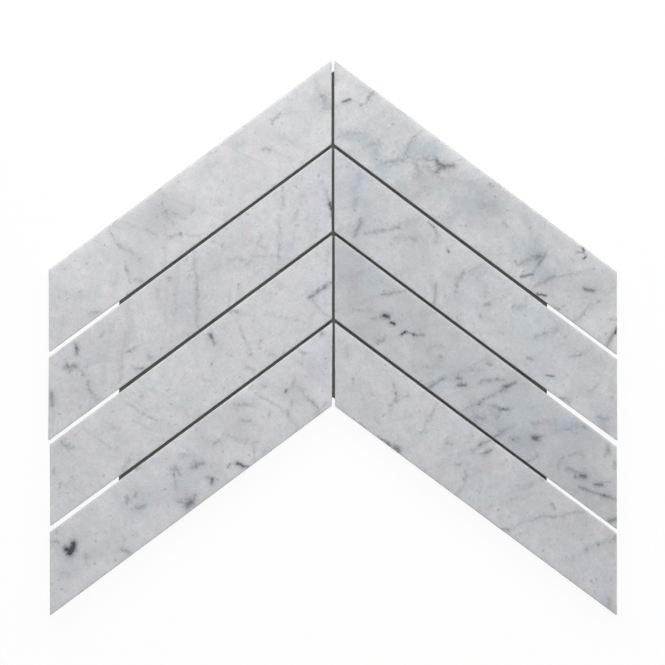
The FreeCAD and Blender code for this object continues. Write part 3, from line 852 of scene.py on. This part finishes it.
for wing, side in WINGS.items():
    for row in ROWS:
        node = f"strip_{wing}_{row}"
        seed = 100 * (side + 2) + row
        mesh = strip_mesh(f"marble_{node}", side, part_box(node), DRESSED[f"{wing}_{row}"], seed)
        marble = honed_marble(f"honed_marble_{wing}_{row}", wing, row)
        place_piece(f"marble_{node}", mesh, marble, node)


# Net and adhesive

NET_LOW, NET_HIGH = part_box("net_backing")
NOTCH_Y = NET_LOW.y + NET_HIGH.x * math.tan(WING_SLOPE)
NET_PITCH = 5.0 * MM
YARN_HALF_WIDTH = 0.45 * MM
YARN_HEIGHT = 0.2 * MM
YARN_WAVE = 0.06 * MM
# The yarns stop this far inside the film.
NET_HEM = 1.2 * MM


def bedding_adhesive():
    """Grey flexible mosaic adhesive, trowelled on the net: matt, slightly mottled, olive in shade."""
    material = new_material("bedding_adhesive")
    tree = material.node_tree
    place = add(tree, "ShaderNodeTexCoord").outputs["Object"]
    smears = add(
        tree,
        "ShaderNodeTexNoise",
        {"Vector": place, "Scale": 1 / (7 * MM), "Detail": 4.0, "Roughness": 0.6, "Distortion": 0.5},
    ).outputs["Fac"]
    greys = {"Factor": smears, "A": linear("#989d94"), "B": linear("#a9aea5")}
    colour = add(tree, "ShaderNodeMix", greys, data_type="RGBA").outputs["Result"]
    bump = add(
        tree, "ShaderNodeBump", {"Height": smears, "Strength": 0.5, "Distance": 0.15 * MM}
    ).outputs[0]
    shader = add(
        tree,
        "ShaderNodeBsdfPrincipled",
        {"Base Color": colour, "Roughness": 0.65, "Normal": bump, "IOR": 1.48},
    )
    add(tree, "ShaderNodeOutputMaterial", {"Surface": shader.outputs[0]})
    return material


def coated_yarn():
    """Alkali-proof coated glass yarn: a dull pale grey with fine filaments along the thread."""
    material = new_material("coated_glass_yarn")
    tree = material.node_tree
    place = add(tree, "ShaderNodeTexCoord").outputs["Object"]
    filaments = add(
        tree, "ShaderNodeTexNoise", {"Vector": place, "Scale": 1 / (0.35 * MM), "Detail": 2.0}
    ).outputs["Fac"]
    greys = {"Factor": filaments, "A": linear("#c2c3bd"), "B": linear("#dddeda")}
    colour = add(tree, "ShaderNodeMix", greys, data_type="RGBA").outputs["Result"]
    shader = add(
        tree, "ShaderNodeBsdfPrincipled", {"Base Color": colour, "Roughness": 0.5, "IOR": 1.52}
    )
    add(tree, "ShaderNodeOutputMaterial", {"Surface": shader.outputs[0]})
    return material


def film_mesh():
    """The adhesive film: a chevron plate from the top of the yarns up to the strips' backs."""
    fall = NET_HIGH.x * math.tan(WING_SLOPE)
    outline = (
        (0, NET_HIGH.y),
        (NET_HIGH.x, NET_HIGH.y - fall),
        (NET_HIGH.x, NET_LOW.y),
        (0, NOTCH_Y),
        (NET_LOW.x, NET_LOW.y),
        (NET_LOW.x, NET_HIGH.y - fall),
    )
    points = [(x, y, z) for z in (NET_LOW.z + YARN_HEIGHT, NET_HIGH.z) for x, y in outline]
    return closed_mesh("adhesive_film", points, ring_faces(2, len(outline)))


def yarn_runs():
    """Start, end and wave phase of every yarn, clipped to the chevron."""
    tan = math.tan(WING_SLOPE)
    half = NET_HIGH.x - NET_HEM
    for k in range(-int(half / NET_PITCH), int(half / NET_PITCH) + 1):
        x = k * NET_PITCH
        yield (x, NOTCH_Y - abs(x) * tan + NET_HEM), (x, NET_HIGH.y - abs(x) * tan - NET_HEM), k % 2
    count = int((NET_HIGH.y - NET_LOW.y) / NET_PITCH)
    for k in range(1, count + 1):
        y = NET_LOW.y + k * NET_PITCH
        outer = min(half, (NET_HIGH.y - y) / tan - NET_HEM)
        inner = (NOTCH_Y - y) / tan + NET_HEM
        if outer < NET_HEM:
            continue
        if inner > 0:
            yield (-outer, y), (-inner, y), k % 2
            yield (inner, y), (outer, y), k % 2
        else:
            yield (-outer, y), (outer, y), k % 2


def yarn_mesh():
    """Flat yarns that wave over and under each other, on the underside of the film."""
    points, faces = [], []
    step = NET_PITCH / 4
    profile = ((-1.0, 0.0), (-0.55, 1.0), (0.55, 1.0), (1.0, 0.0))
    count = len(profile)
    for start, end, phase in yarn_runs():
        start, end = np.array(start), np.array(end)
        length = np.linalg.norm(end - start)
        if length < step:
            continue
        way = (end - start) / length
        across = np.array([-way[1], way[0]])
        upright = abs(way[1]) > 0.5
        first = len(points)
        stations = int(length / step) + 1
        for k in range(stations):
            middle = start + way * length * k / (stations - 1)
            wave = math.cos(math.pi * (middle @ np.abs(way) / NET_PITCH + phase + upright))
            depth = YARN_HEIGHT - YARN_WAVE * (1 - wave) / 2
            for sideways, down in profile:
                x, y = middle + across * sideways * YARN_HALF_WIDTH
                points.append((x, y, NET_LOW.z + YARN_HEIGHT - down * depth))
        for k in range(stations - 1):
            base = first + count * k
            for j in range(count - 1):
                faces.append((base + j, base + j + 1, base + count + j + 1, base + count + j))
        for base in (first, first + count * (stations - 1)):
            faces.append(tuple(range(base, base + count)))
    return closed_mesh("net_yarns", points, faces)


place_piece("adhesive_film", film_mesh(), bedding_adhesive(), "net_backing")
place_piece("net_yarns", yarn_mesh(), coated_yarn(), "net_backing")


# Floor, light and camera

FLOOR_HALF = 12.0
# The floor's paint where it is seen, and the light grey that its light comes off for the strips.
FLOOR_PAINT = "#fafafa"
FLOOR_BOUNCE = "#9a9a98"
# How much of the floor's white, where it is seen, is its own and not the lamps'.
FLOOR_GLOW = 0.94
# Strength of the white surroundings as light on the sheet.
AMBIENT = 0.15


def seen_directly(tree):
    """1 on the way from the eye, also by a mirror or through glass, and 0 for light that bounces."""
    path = add(tree, "ShaderNodeLightPath").outputs
    seen = path["Is Camera Ray"]
    for ray in ("Is Glossy Ray", "Is Transmission Ray"):
        seen = add(tree, "ShaderNodeMath", {0: seen, 1: path[ray]}, operation="MAXIMUM").outputs[0]
    return seen


def studio_floor():
    """A plain pale floor. Seen by the camera it is nearly white, and keeps a faint shadow."""
    material = new_material("studio_floor")
    tree = material.node_tree
    seen = seen_directly(tree)
    share = add(tree, "ShaderNodeMath", {0: seen, 1: FLOOR_GLOW}, operation="MULTIPLY").outputs[0]
    greys = {"Factor": seen, "A": linear(FLOOR_BOUNCE), "B": linear(FLOOR_PAINT)}
    pale = add(tree, "ShaderNodeMix", greys, data_type="RGBA").outputs["Result"]
    paint = add(tree, "ShaderNodeBsdfDiffuse", {"Color": pale})
    white = add(tree, "ShaderNodeEmission", {"Color": (1, 1, 1, 1), "Strength": 1.0})
    mixed = add(tree, "ShaderNodeMixShader", {0: share, 1: paint.outputs[0], 2: white.outputs[0]})
    add(tree, "ShaderNodeOutputMaterial", {"Surface": mixed.outputs[0]})
    mesh = bpy.data.meshes.new("floor")
    half = FLOOR_HALF
    mesh.from_pydata(
        [(-half, -half, 0), (half, -half, 0), (half, half, 0), (-half, half, 0)], [], [(0, 1, 2, 3)]
    )
    mesh.materials.append(material)
    floor = bpy.data.objects.new("floor", mesh)
    bpy.context.scene.collection.objects.link(floor)


def studio_world():
    """Even white surroundings: the camera sees them white, and they fill the shadows."""
    world = bpy.data.worlds.new("studio")
    bpy.context.scene.world = world
    world.use_nodes = True
    tree = world.node_tree
    tree.nodes.clear()
    strength = add(
        tree, "ShaderNodeMapRange", {"Value": seen_directly(tree), "To Min": AMBIENT, "To Max": 1.0}
    ).outputs["Result"]
    sky = add(tree, "ShaderNodeBackground", {"Color": (1, 1, 1, 1), "Strength": strength})
    add(tree, "ShaderNodeOutputWorld", {"Surface": sky.outputs[0]})


# Softboxes: where, width and height in metres, power in watts.
SOFTBOXES = {
    "left_key_softbox": ((-0.5, 1.4, 1.15), (1.5, 1.2), 22.5),
    "right_key_softbox": ((1.05, 1.05, 1.15), (1.5, 1.2), 14.8),
    "overhead_softbox": ((0.0, 0.35, 1.9), (0.8, 0.8), 8.6),
}


def softbox(name, place, size, power):
    """A rectangular softbox that points at the sheet and that the camera doesn't see."""
    lamp = bpy.data.lights.new(name, "AREA")
    lamp.shape = "RECTANGLE"
    lamp.size, lamp.size_y = size
    lamp.energy = power
    box = bpy.data.objects.new(name, lamp)
    box.location = place
    box.rotation_mode = "QUATERNION"
    box.rotation_quaternion = (-box.location).to_track_quat("-Z", "Y")
    box.visible_camera = False
    bpy.context.scene.collection.objects.link(box)


def photo_camera():
    """Straight above the sheet with a long lens, turned and framed as in the photograph."""
    data = bpy.data.cameras.new("photo_camera")
    data.sensor_width = 36.0
    data.lens = data.sensor_width * CAMERA_HEIGHT / (PHOTO_SIDE_PX * PIXEL)
    data.clip_end = 100.0
    camera = bpy.data.objects.new("photo_camera", data)
    middle_px = PHOTO_SIDE_PX / 2
    camera.location = (
        (middle_px - SHEET_MIDDLE_PX[0]) * PIXEL,
        (SHEET_MIDDLE_PX[1] - middle_px) * PIXEL,
        CAD_BOX[1].z + CAMERA_HEIGHT,
    )
    camera.rotation_euler = (0, 0, PHOTO_ROLL)
    bpy.context.scene.collection.objects.link(camera)
    bpy.context.scene.camera = camera


studio_floor()
studio_world()
for name, (place, size, power) in SOFTBOXES.items():
    softbox(name, place, size, power)
photo_camera()
bpy.context.scene.view_settings.view_transform = "Standard"
